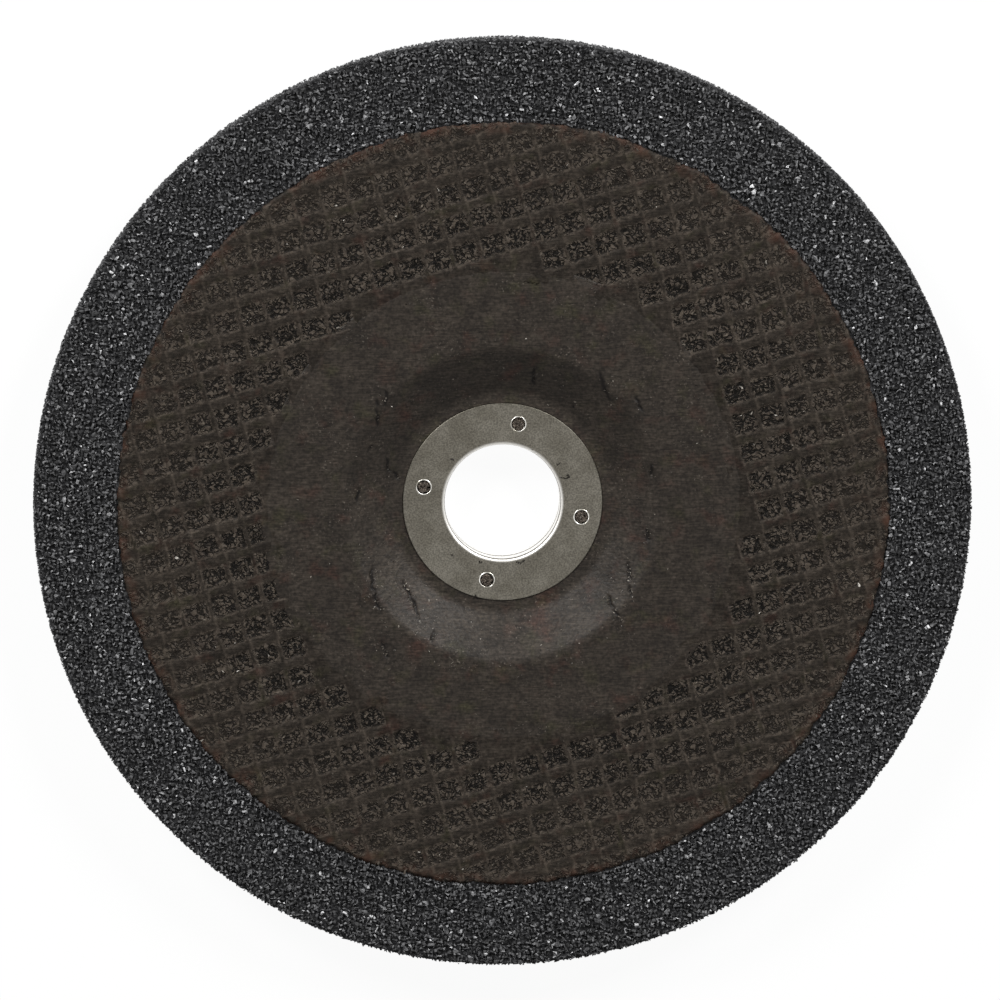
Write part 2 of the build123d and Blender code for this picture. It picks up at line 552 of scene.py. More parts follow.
def resin_film(tree, place, bare):
    """Colour of phenolic resin, pressed over glass fibre: dull brown, a little redder or greener in patches.

    Faint streaks follow both ways of the weave. bare is the share of pale specks, where grit shows through.
    """
    finish = bpy.context.scene.grinding_disc_finish
    uneven = patches(tree, place, 5 * MM, 0.25, 0.75, 5)
    stops = [(0.0, finish.resin_dark), (1.0, finish.resin_light)]
    colour = add(tree, "ShaderNodeValToRGB", {"Fac": uneven}, stops).outputs["Color"]
    rust = patches(tree, place, 5 * MM, 0.53, 0.82, shift=(1, 2, 3))
    olive = patches(tree, place, 5 * MM, 0.52, 0.82, shift=(4, 5, 6))
    colour = stained(tree, colour, [(rust, "#49362F"), (olive, "#413E2F")])
    fine = patches(tree, place, 0.6 * MM, 0.3, 0.7, rough=0.6, shift=(7, 8, 9))
    colour = shaded(tree, colour, 0.9, fine, [(0.0, "#A0A0A0"), (1.0, "#FFFFFF")])
    for turn, shift in ((WEAVE_ANGLE, 3), (WEAVE_ANGLE + pi / 2, 6)):
        # Real filaments are about 0.01 mm thick. The streaks are coarser and stand for bundles of them
        sockets = {
            "Vector": place,
            "Location": (shift, shift, 0),
            "Rotation": (0, 0, -turn),
            "Scale": (1, 7, 1),
        }
        drawn_out = add(tree, "ShaderNodeMapping", sockets).outputs["Vector"]
        fibre = patches(tree, drawn_out, 2.2 * MM, 0.3, 0.7, 2)
        colour = shaded(tree, colour, 0.7, fibre, [(0.0, "#B4B4B4"), (1.0, "#FFFFFF")])
    speck = patches(tree, place, 0.45 * MM, 0.62, 0.8, 1, shift=(2, 7, 4))
    where = patches(tree, place, 7 * MM, 0.4, 0.7, 2, shift=(6, 3, 8))
    amount = add(tree, "ShaderNodeMath", {0: speck, 1: where}, operation="MULTIPLY").outputs[0]
    amount = add(tree, "ShaderNodeMath", {0: amount, 1: bare}, operation="MULTIPLY").outputs[0]
    return stained(tree, colour, [(amount, "#665F57")])


def resin_bump(tree, place):
    """Normal of the resin's fine unevenness."""
    height = patches(tree, place, 0.6 * MM, 0.2, 0.8, 5)
    sockets = {"Strength": 0.8, "Distance": 0.05 * MM, "Height": height}
    return add(tree, "ShaderNodeBump", sockets).outputs["Normal"]


def soaked_glass_cloth():
    """Woven glass fibre, soaked in resin and pressed: dull brown strands, and cells broken up by pits
    darkened with painted shade.

    The pits and their painted shade also show in patches on the strands, where the resin is thin, and the cut
    edge is rusty. Lower places get painted shade, and the edges of cells a painted highlight.
    """
    material, tree, place = new_material("resin_soaked_woven_glass")
    colour = resin_film(tree, place, 0.5)
    # Painted shade: the lower the cloth lies below the face, the darker its colour
    height = add(tree, "ShaderNodeSeparateXYZ", {"Vector": place}).outputs["Z"]
    sockets = {"Value": height, "From Min": FACE - 0.55 * MM, "From Max": FACE - 0.22 * MM}
    height_shade = add(tree, "ShaderNodeMapRange", sockets).outputs["Result"]
    colour = shaded(tree, colour, 1.0, height_shade, [(0.0, "#7A7A7A"), (1.0, "#F6F6F6")])

    # Painted highlight: the edges of cells and one side of each narrow pair are painted paler
    edge_highlight = add(tree, "ShaderNodeAttribute", attribute_name="edge_highlight").outputs["Fac"]
    broken = patches(tree, place, 1.2 * MM, 0.3, 0.6, 2, shift=(0.06, 0.02, 0.05))
    edge_highlight = add(tree, "ShaderNodeMath", {0: edge_highlight, 1: broken}, operation="MULTIPLY").outputs[0]
    openness = add(tree, "ShaderNodeAttribute", attribute_name="open").outputs["Fac"]
    lot = patches(tree, place, 0.8 * MM, 0.35, 0.65, 1, shift=(0.04, 0.01, 0.03))
    stops = [(0.0, "#39332E"), (0.8, "#484139"), (1.0, "#4D463F")]
    cell = add(tree, "ShaderNodeValToRGB", {"Fac": lot}, stops).outputs["Color"]
    colour = stained(tree, colour, [(edge_highlight, "#5B5249"), (openness, cell)])

    wide_pits = crevices(tree, place, 1.1 * MM, 0.12)
    thin_pits = crevices(tree, place, 1.4 * MM, 0.08, shift=(0.02, 0.05, 0.01))
    pits = add(tree, "ShaderNodeMath", {0: wide_pits, 1: thin_pits}, operation="MULTIPLY").outputs[0]
    thin = patches(tree, place, 3 * MM, 0.42, 0.62, 2, shift=(0.03, 0.07, 0.02))
    thin = add(tree, "ShaderNodeMath", {0: thin, 1: 0.22}, operation="MULTIPLY").outputs[0]
    pitted = add(tree, "ShaderNodeMath", {0: openness, 1: thin}, operation="MAXIMUM").outputs[0]
    # Painted shade: the crevices are darkened in the colour, fully in the open cells and in patches on the
    # strands
    colour = shaded(tree, colour, pitted, pits, [(0.0, "#303030"), (0.4, "#949494"), (1.0, "#FFFFFF")])

    radius = axis_distance(tree, place)
    sockets = {"Value": radius, "From Min": CLOTH_RADIUS - 2.6 * MM, "From Max": CLOTH_RADIUS}
    edge = add(tree, "ShaderNodeMapRange", sockets).outputs["Result"]
    rusty = patches(tree, place, 3 * MM, 0.4, 0.75, shift=(9, 1, 5))
    amount = add(tree, "ShaderNodeMath", {0: edge, 1: rusty}, operation="MULTIPLY").outputs[0]
    colour = stained(tree, colour, [(amount, "#442F26")])

    height = add(tree, "ShaderNodeMath", {0: pits, 1: openness}, operation="MULTIPLY").outputs[0]
    sockets = {"Strength": 1.0, "Distance": 0.15 * MM, "Height": height, "Normal": resin_bump(tree, place)}
    bump = add(tree, "ShaderNodeBump", sockets).outputs["Normal"]
    finish_material(tree, colour, 0.55, 0.07, bump)
    return material


def pressed_resin_sheet():
    """Resin sheet, pressed smooth: a dull sheen, paler on the slope as painted highlight, and darkened in the
    creases as painted shade.
    """
    material, tree, place = new_material("phenolic_resin_sheet")
    colour = resin_film(tree, place, 0.7)
    # Painted highlight: the slope is made paler, most where it faces a key light
    sockets = {"Factor": 1.0, MIX_FIRST: colour, MIX_SECOND: "#FFFFFF"}
    slope_highlight = add(tree, "ShaderNodeMix", sockets, data_type="RGBA", blend_type="SOFT_LIGHT").outputs[MIX_RESULT]
    slope = add(tree, "ShaderNodeAttribute", attribute_name="slope").outputs["Fac"]
    # Painted shade: the creases are darkened nearly to black in the colour
    crease = add(tree, "ShaderNodeAttribute", attribute_name="crease").outputs["Fac"]
    colour = stained(tree, colour, [(slope, slope_highlight), (crease, "#0E0B09")])
    finish_material(tree, colour, 0.46, 0.12, resin_bump(tree, place))
    return material


# Materials of the ring


def rolled_steel(tree, place, dark, light, blotch):
    """Colour of cold-rolled steel sheet: clouded between two greys."""
    cloud = patches(tree, place, blotch, 0.3, 0.7, 4)
    return add(tree, "ShaderNodeValToRGB", {"Fac": cloud}, [(0.0, dark), (1.0, light)]).outputs["Color"]


def finish_steel(tree, place, colour, roughness):
    """Bare metal with a faint grain, drawn coarser than that of real sheet, which is under 0.1 mm."""
    grain = patches(tree, place, 0.25 * MM, 0.2, 0.8, 4)
    bump = add(tree, "ShaderNodeBump", {"Strength": 0.35, "Distance": 0.01 * MM, "Height": grain})
    finish_material(tree, colour, roughness, 0.5, bump.outputs["Normal"], 1.0)


def pressed_steel():
    """Steel sheet, pressed and left bare: dull grey with a yellow cast, speckled, with a few dark spots.

    The lip of the bore is painted near white as a painted highlight, and the wall of the tube has thin darker
    bands round it.
    """
    material, tree, place = new_material("cold_rolled_steel_dull")
    finish = bpy.context.scene.grinding_disc_finish
    colour = rolled_steel(tree, place, finish.steel_dark, finish.steel_light, 4 * MM)
    speck = patches(tree, place, 0.3 * MM, 0.3, 0.7, 2, shift=(3, 3, 3))
    colour = shaded(tree, colour, 0.8, speck, [(0.0, "#B0B0B0"), (1.0, "#FFFFFF")])
    # Painted highlight: the lip of the bore is painted near white
    radius = axis_distance(tree, place)
    sockets = {"Value": radius, "From Min": BORE_RADIUS + 0.75 * MM, "From Max": BORE_RADIUS - 0.1 * MM}
    lip_highlight = add(tree, "ShaderNodeMapRange", sockets, interpolation_type="SMOOTHSTEP").outputs["Result"]

    # At a scale of 1 the bands of a Wave node repeat every pi / 10
    line_spacing = 3.4 * MM
    sockets = {
        "Vector": place,
        "Scale": pi / 10 / line_spacing,
        "Distortion": 0.8,
        "Detail": 1.0,
        "Phase Offset": 2.0,
    }
    wave = add(tree, "ShaderNodeTexWave", sockets, bands_direction="Z").outputs["Fac"]
    sockets = {"Value": wave, "From Min": 0.16, "From Max": 0.06}
    line = add(tree, "ShaderNodeMapRange", sockets, interpolation_type="SMOOTHSTEP").outputs["Result"]
    sockets = {"Value": radius, "From Min": BORE_RADIUS + 0.12 * MM, "From Max": BORE_RADIUS + 0.04 * MM}
    wall = add(tree, "ShaderNodeMapRange", sockets).outputs["Result"]
    line = add(tree, "ShaderNodeMath", {0: line, 1: wall}, operation="MULTIPLY").outputs[0]

    spot = patches(tree, place, 0.5 * MM, 0.74, 0.8, 1, shift=(5, 2, 6))
    colour = stained(tree, colour, [(lip_highlight, "#F6F4F0"), (line, "#57534A"), (spot, "#4E4A42")])
    finish_steel(tree, place, colour, 0.5)
    return material


def burnished_and_highlit_steel():
    """Steel that a punch has burnished: bright, painted brighter still as a painted highlight, with darker
    patches.
    """
    material, tree, place = new_material("burnished_highlit_steel_edge")
    finish_steel(tree, place, rolled_steel(tree, place, "#8A867B", "#F4F2EC", 1.4 * MM), 0.3)
    return material


# Operators


class GRINDING_DISC_OT_wheel(bpy.types.Operator):
    """Moulded wheel: rough shell, and the grains of its bare rim and edge"""

    bl_idname = "grinding_disc.wheel"
    bl_label = "Abrasive wheel"

    def add_shell(self):
        """Resin body of the wheel. It lies below the grains, and lower under the cloth and the sheet."""
        covered = CLOTH_RADIUS - 2 * MM
        under_ring = 5.5 * MM
        under_sheet = 5.0 * MM
        bed = FACE - 1.3 * MM
        top = FACE - 0.5 * MM
        side = WHEEL_RADIUS - 0.3 * MM
        corners = [
            (BORE_HOLE_RADIUS, under_ring, 0),
            (FOOT_RADIUS + 0.3 * MM, under_sheet, 0),
            (BROW_RADIUS + 0.3 * MM, bed, 0),
            (covered, bed, 0),
            (covered + 1.2 * MM, top, 0),
            (side, top, 0.3 * MM),
            (side, FLAT_BACK, 0.5 * MM),
            (BROW_RADIUS + BACK_STEP, FLAT_BACK, TURN_ROUND),
            (FOOT_RADIUS + BACK_STEP, 0, TURN_ROUND),
            (BORE_HOLE_RADIUS, 0, 0),
        ]

        def hidden(radius, height):
            return radius < covered and height > FLAT_BACK + 0.2 * MM

        def spacing(radius, height):
            return 5 * MM if hidden(radius, height) else 1.3 * MM

        def pitted(place):
            if hidden(place.xy.length, place.z):
                return 0.0
            rough = noise.noise(place / (0.75 * MM)) + 0.6 * noise.noise(place / (2.2 * MM))
            return max(0.12 + 0.2 * rough, 0.0) * MM

        mesh = mesh_from(roughened(spun(corners, spacing, steps=504), pitted), "wheel_shell")
        add_piece("wheel_shell", mesh, grit_bed(), WHEEL)

    def add_deep_grains(self, grit, rng):
        """Grains that lie deep between those at the face, darker as painted shade: they take only the darker
        tones.
        """
        radii, angles = ring_spots(CLOTH_RADIUS + 0.3 * MM, WHEEL_RADIUS - 0.5 * MM, 1.0 * MM, rng)
        count = len(radii)
        sizes = np.clip(rng.lognormal(0, 0.2, count), 0.6, 1.5) * MM
        sinks = 0.22 * MM + rng.uniform(-0.12, 0.15, count) * MM
        # Painted shade: only the darker three quarters of the tones
        tones = rng.random(count) * 0.75
        add_grains(
            "rim_bed_grains", on_face(radii, angles), sizes, sinks, tones, grit, rng
        )

    def add_face_grains(self, settings, grit, rng):
        """Grains of the bare rim. They lie lower towards its edge, which is bevelled."""
        outer = WHEEL_RADIUS - 0.42 * MM
        radii, angles = ring_spots(CLOTH_RADIUS + 0.35 * MM, outer, settings.rim_spacing, rng)
        count = len(radii)
        sizes = settings.rim_size * np.clip(rng.lognormal(0, 0.25, count), 0.6, 1.7)
        sinks = np.abs(rng.normal(0, 0.2 * MM, count)) - 0.05 * MM
        sinks += np.clip(radii - (WHEEL_RADIUS - 1.1 * MM), 0, None) * 0.5
        tones = rng.random(count)
        add_grains("rim_grains", on_face(radii, angles), sizes, sinks, tones, grit, rng)

    def add_edge_grains(self, settings, grit, rng):
        """Rows of grains round the edge. They lie lower towards its bevels."""
        spacing = settings.rim_spacing
        number = int(2 * pi * WHEEL_RADIUS / spacing)
        heights, angles = [], []
        for row in np.arange(FLAT_BACK + 0.45 * MM, FACE - 0.65 * MM, spacing):
            angles.append(loose_turns(number, rng))
            heights.append(row + rng.uniform(-0.3, 0.3, number) * spacing)
        angles = np.concatenate(angles)
        heights = np.concatenate(heights)
        count = len(heights)
        outward = np.column_stack([np.cos(angles), np.sin(angles), np.zeros(count)])
        places = outward * WHEEL_RADIUS + np.outer(heights, UP)
        sizes = settings.rim_size * np.clip(rng.lognormal(0, 0.22, count), 0.6, 1.4)
        sinks = np.abs(rng.normal(0, 0.1 * MM, count))
        sinks += np.clip(np.abs(heights - (FACE + FLAT_BACK) / 2) - 2.4 * MM, 0, None) * 0.6
        tones = rng.random(count) * 0.9
        add_grains("edge_grains", places, sizes, sinks, tones, grit, rng, outward)

    def execute(self, context):
        settings = context.scene.grinding_disc_grit
        rng = np.random.default_rng(settings.seed)
        self.add_shell()
        # The palest tones are pale grains, and also painted glints
        stops = [
            (0.0, "#3E3E3E"),
            (0.4, "#525253"),
            (0.78, "#6B6B6C"),
            (0.94, "#929293"),
            (0.985, "#BCBCBD"),
            (1.0, "#EFEFF0"),
        ]
        grit = corundum_grit("fused_alumina_grit", stops, 0.09)
        self.add_deep_grains(grit, rng)
        self.add_face_grains(settings, grit, rng)
        self.add_edge_grains(settings, grit, rng)
        return {"FINISHED"}


class GRINDING_DISC_OT_cloth(bpy.types.Operator):
    """Woven glass cloth: broad strands, narrow pairs and rough cells, and the grit that shows in them"""

    bl_idname = "grinding_disc.cloth"
    bl_label = "Glass-fibre mesh"

    def woven_face(self, grid, cell_depth):
        """Grid that carries the relief of the cloth, closed by walls and a flat underside."""
        half = CLOTH_RADIUS + 1 * MM
        inner = SHEET_RADIUS - 3.2 * MM
        outer = half - 0.3 * MM
        segments = int(2 * half / grid)
        bm = bmesh.new()
        bmesh.ops.create_grid(bm, x_segments=segments, y_segments=segments, size=half)
        bmesh.ops.rotate(bm, verts=bm.verts[:], cent=(0, 0, 0), matrix=Matrix.Rotation(WEAVE_ANGLE, 3, "Z"))
        outside = [face for face in bm.faces if not inner < face.calc_center_median().xy.length < outer]
        bmesh.ops.delete(bm, geom=outside, context="FACES")
        for vert in bm.verts:
            x, y = vert.co.x / MM, vert.co.y / MM
            below = cloth_relief(x, y, cell_depth)[0]
            edge = cloth_edge(atan2(y, x))
            below += 0.7 * smoothstep(hypot(x, y), edge - 0.3, edge + 0.35)
            vert.co.z = FACE - below * MM
        walls = bmesh.ops.extrude_edge_only(bm, edges=[edge for edge in bm.edges if edge.is_boundary])["geom"]
        for item in walls:
            if isinstance(item, bmesh.types.BMVert):
                item.co.z = FACE - 1.1 * MM
        loops = [item for item in walls if isinstance(item, bmesh.types.BMEdge) and item.is_boundary]
        bmesh.ops.bridge_loops(bm, edges=loops)
        bmesh.ops.recalc_face_normals(bm, faces=bm.faces[:])
        return mesh_from(bm, "woven_face", smooth=True)

    def add_cell_grains(self, spacing, cell_depth, rng):
        """Grit, coated with resin, that shows in the open cells."""
        radii, angles = ring_spots(SHEET_RADIUS - 3 * MM, CLOTH_RADIUS - 0.2 * MM, spacing, rng)
        places = []
        for x, y in zip(radii * np.cos(angles) / MM, radii * np.sin(angles) / MM):
            below, openness, _ = cloth_relief(x, y, cell_depth)
            if openness > 0.55:
                places.append((x * MM, y * MM, FACE - below * MM))
        places = np.array(places)
        count = len(places)
        sizes = rng.uniform(0.6, 1.4, count) * MM
        sinks = -rng.uniform(-0.05, 0.25, count) * MM
        sinks = np.maximum(sinks, places[:, 2] - FACE + 0.04 * MM)
        stops = [
            (0.0, "#2C2722"),
            (0.5, "#4B443C"),
            (0.9, "#514A41"),
            (0.99, "#665E54"),
            (1.0, "#D0CBC2"),
        ]
        grit = corundum_grit("resin_coated_alumina_grit", stops, 0.15, (0.5, 0.8))
        tones = rng.random(count)
        slimness = (0.25, 0.55)
        add_grains(
            "cell_grains", places, sizes, sinks, tones, grit, rng, slimness=slimness
        )

    def execute(self, context):
        settings = context.scene.grinding_disc_cloth
        grit_settings = context.scene.grinding_disc_grit
        rng = np.random.default_rng(grit_settings.seed + 1)
        cell_depth = settings.cell_depth / MM
        mesh = self.woven_face(settings.grid, cell_depth)
        add_piece("woven_face", mesh, soaked_glass_cloth(), CLOTH)
        opened, edge_highlights = [], []
        for vert in mesh.vertices:
            x, y = vert.co.x / MM, vert.co.y / MM
            _, openness, edge = cloth_relief(x, y, cell_depth)
            opened.append(openness * (1 - 0.2 * smoothstep(hypot(x, y), 52, 74)))
            edge_highlights.append(edge)
        add_attribute(mesh, "open", opened)
        add_attribute(mesh, "edge_highlight", edge_highlights)
        self.add_cell_grains(grit_settings.cell_spacing, cell_depth, rng)
        return {"FINISHED"}


class GRINDING_DISC_OT_sheet(bpy.types.Operator):
    """Smooth sheet pressed into the dish, with the creases of a flat sheet made hollow"""

    bl_idname = "grinding_disc.sheet"
    bl_label = "Reinforcement disc"

    # Creases as (x, y of the middle, heading in degrees, length, bend of the middle), in millimetres
    creases = [
        (19.7, 22.6, 115, 7.6, 0.5),
        (-24.0, 18.0, 92, 6.2, 0.2),
        (-22.5, 21.0, 90, 3.6, -0.1),
        (-25.7, 11.0, 65, 1.8, 0.0),
        (-21.9, 7.4, 100, 2.8, 0.2),
        (-20.6, 5.3, 118, 2.2, -0.2),
        (26.0, 19.4, 117, 3.6, 0.2),
        (13.7, 18.8, 80, 1.6, 0.1),
        (-24.3, -16.2, 101, 10.2, 0.6),
        (-17.8, -18.7, 113, 8.8, -0.4),
        (24.2, -14.7, 92, 7.2, 0.2),
        (21.4, -20.2, 115, 6.0, 0.3),
        (-22.6, -27.6, 112, 4.0, 0.3),
        (27.4, -6.0, 85, 3.0, -0.2),
        (6.0, 24.5, 88, 4.0, 0.2),
        (-27.8, 2.0, 78, 3.2, 0.2),
        (28.4, 6.5, 100, 2.6, 0.1),
        (-13.5, -25.5, 60, 2.4, 0.1),
    ]

    # Chips of pale grit, and dark chips of tone 0 as painted shade of pits, as (x, y, size, tone), in
    # millimetres
    chips = [
        (-24.4, -12.8, 0.6, 0.93), (-23.8, -15.9, 0.7, 0.9), (-17.4, -19.9, 0.7, 0.93),
        (-16.1, -22.6, 1.3, 0.96), (-18.2, -18.4, 0.6, 0.9), (-10.9, -24.0, 0.6, 0.9),
        (-20.1, -23.2, 0.8, 0.88), (-18.6, -22.8, 0.7, 0.88), (23.9, -10.7, 0.6, 0.93),
        (24.0, -12.0, 0.7, 0.96), (24.5, -14.7, 0.8, 0.9), (24.6, -16.7, 0.7, 0.9),
        (20.0, -18.6, 0.8, 0.93), (17.7, -19.2, 0.5, 0.9), (16.2, -22.8, 0.8, 0.93),
        (14.8, -25.2, 0.7, 0.93), (-20.3, -11.3, 0.6, 0.9), (-14.7, -16.1, 0.5, 0.88),
        (-10.3, -27.8, 0.6, 0.88), (-4.0, -35.7, 0.5, 1.0), (8.7, -26.3, 0.6, 0.0),
        (-16.1, -27.5, 0.8, 0.0), (18.0, -11.5, 0.6, 0.0), (-14.0, -13.6, 0.6, 0.0),
        (-24.9, -14.0, 0.6, 0.9), (-19.4, -15.0, 0.5, 0.9), (-21.9, -18.5, 0.5, 0.88),
        (19.0, -14.0, 0.5, 0.9), (-28.2, 9.7, 0.5, 0.93), (8.7, 18.7, 0.6, 0.93),
        (-13.2, 18.0, 0.5, 1.0), (29.0, -2.0, 0.5, 0.93),
    ]  # fmt: skip

    # Flecks for each millimetre of a crease, on the far and the near half of the disc
    far_flecks = 2.4
    near_flecks = 9.0

    # Flecks strewn over the whole sheet, and pale ones over the near side of its slope, which are grit and
    # also painted highlight
    strewn_flecks = 160
    slope_flecks = 190

    def top_height(self, radius):
        """Height of the sheet's face, without its rounds."""
        return max(FLOOR, min(FACE, FLOOR + (radius - FOOT_RADIUS) * tan(SLOPE)))

    def creases_near(self, x, y):
        """Creases that a place lies beside, with its distance along and across each of them, in mm."""
        for crease in self.creases:
            middle_x, middle_y, heading, length, _ = crease
            turn = radians(heading)
            along = (x - middle_x) * cos(turn) + (y - middle_y) * sin(turn)
            across = (y - middle_y) * cos(turn) - (x - middle_x) * sin(turn)
            if abs(along) < length / 2:
                yield crease, along, across

    def crease_depth(self, x, y):
        """Depth in mm of the creases at a place. They wind, break off in places and fade at the ends."""
        deepest = 0.0
        for (middle_x, middle_y, _, length, bend), along, across in self.creases_near(x, y):
            across += bend * ((2 * along / length) ** 2 - 1)
            across += 0.4 * noise.noise(Vector((along / 1.1, middle_x, 0)))
            broken = 0.95 + 0.9 * noise.noise(Vector((along / 1.1, middle_y, 3.5)))
            fade = min(max(broken, 0.0), 1.0) * (1 - (2 * abs(along) / length) ** 4)
            width = 0.32 + 0.14 * noise.noise(Vector((along / 0.7, middle_y, 7.5)))
            deepest = max(deepest, 0.22 * fade * exp(-((across / width) ** 2)))
        return deepest

    def near_crease(self, vert):
        """Whether a point lies so close to a crease that its mesh has to be finer."""
        return any(abs(across) < 1.3 for _, _, across in self.creases_near(vert.co.x / MM, vert.co.y / MM))

    def slope_highlight(self, place):
        """How much painted highlight makes the slope paler at a place: some all over it, most on the side
        that faces a key light, and none on the flats.
        """
        radius = place.xy.length + 1.2 * MM * noise.noise(place / (5 * MM))
        rise = smoothstep(radius, FOOT_RADIUS - 2.5 * MM, FOOT_RADIUS + 0.5 * MM)
        fall = 1 - smoothstep(radius, BROW_RADIUS - 1.5 * MM, BROW_RADIUS + 0.8 * MM)
        turn = atan2(place.y, place.x)
        return (0.08 - 0.03 * sin(turn) + 0.12 * max(cos(turn - HIGHLIGHT_SIDE), 0) ** 3) * rise * fall

    def pressed_sheet(self):
        """Sheet with its creases, finer where they run."""
        under = SHEET_THICKNESS * tan(SLOPE / 2)
        inner = RING_RADIUS - 0.05 * MM
        corners = [
            (inner, FLOOR, 0),
            (FOOT_RADIUS, FLOOR, TURN_ROUND),
            (BROW_RADIUS, FACE, TURN_ROUND),
            (SHEET_RADIUS - 1.6 * MM, FACE, 0),
            (SHEET_RADIUS, FACE - 0.3 * MM, 0),
            (SHEET_RADIUS, FACE - SHEET_THICKNESS, 0),
            (BROW_RADIUS + under, FACE - SHEET_THICKNESS, 0),
            (FOOT_RADIUS + under, FLOOR - SHEET_THICKNESS, 0),
            (inner, FLOOR - SHEET_THICKNESS, 0),
        ]

        def on_top(radius, height):
            return height > self.top_height(radius) - 0.2 * MM

        def spacing(radius, height):
            return 0.36 * MM if on_top(radius, height) else 6 * MM

        def pressed(place):
            if place.z < self.top_height(place.xy.length) - 0.25 * MM:
                return 0.0
            depth = 0.05 * noise.noise(place / (3.2 * MM)) + 0.02 * noise.noise(place / (0.9 * MM))
            return (depth + self.crease_depth(place.x / MM, place.y / MM)) * MM

        bm = spun(corners, spacing, steps=720)
        creased = [
            edge
            for edge in bm.edges
            if all(on_top(vert.co.xy.length, vert.co.z) and self.near_crease(vert) for vert in edge.verts)
        ]
        bmesh.ops.subdivide_edges(bm, edges=creased, cuts=2, use_grid_fill=True)
        return mesh_from(roughened(bm, pressed), "pressed_sheet", smooth=True)

    def add_flecks(self, rng):
        """Slivers of grit and bare fibre that show through the sheet, most of them beside the creases."""
        flecks = list(self.chips)
        for x, y, heading, length, _ in self.creases:
            turn = radians(heading)
            for _ in range(int(length * (self.near_flecks if y < 0 else self.far_flecks))):
                along = rng.normal(0, 0.35 * length)
                aside = rng.normal(0, 0.9)
                fleck_x = x + along * cos(turn) - aside * sin(turn)
                fleck_y = y + along * sin(turn) + aside * cos(turn)
                flecks.append((fleck_x, fleck_y, rng.uniform(0.3, 1.0), rng.random()))
        for _ in range(self.strewn_flecks):
            reach = rng.uniform(24, 45)
            turn = rng.uniform(0, 2 * pi)
            flecks.append((reach * cos(turn), reach * sin(turn), rng.uniform(0.3, 1.0), rng.random()))
        # Pale flecks on the near, lit side of the slope: grit, and also painted highlight
        for _ in range(self.slope_flecks):
            reach = rng.uniform(21.5, 34)
            turn = radians(rng.triangular(190, 230, 345))
            size = rng.uniform(0.3, 0.8)
            flecks.append((reach * cos(turn), reach * sin(turn), size, rng.uniform(0.55, 1.0)))
        x, y, sizes, tones = np.array(flecks).T
        heights = [self.top_height(reach * MM) - 0.02 * MM for reach in np.hypot(x, y)]
        places = np.column_stack([x * MM, y * MM, heights])
        sinks = -rng.uniform(0.04, 0.1, len(flecks)) * MM
        # Tone 0 is near black: painted shade of pits
        stops = [(0.0, "#14110F"), (0.15, "#3A342E"), (0.6, "#5E574E"), (0.93, "#8C857B"), (1.0, "#CFCAC1")]
        grit = corundum_grit("grit_through_resin_sheet", stops, 0.2)
        slimness = (0.25, 0.6)
        add_grains(
            "sheet_flecks", places, sizes * MM, sinks, tones, grit, rng, slimness=slimness
        )

    def execute(self, context):
        mesh = self.pressed_sheet()
        add_piece("pressed_sheet", mesh, pressed_resin_sheet(), SHEET)
        # The crease depth also drives the painted shade of the creases
        depths = [self.crease_depth(vert.co.x / MM, vert.co.y / MM) for vert in mesh.vertices]
        add_attribute(mesh, "crease", [depth / 0.16 for depth in depths])
        add_attribute(mesh, "slope", [self.slope_highlight(vert.co) for vert in mesh.vertices])
        self.add_flecks(np.random.default_rng(context.scene.grinding_disc_grit.seed + 3))
        return {"FINISHED"}


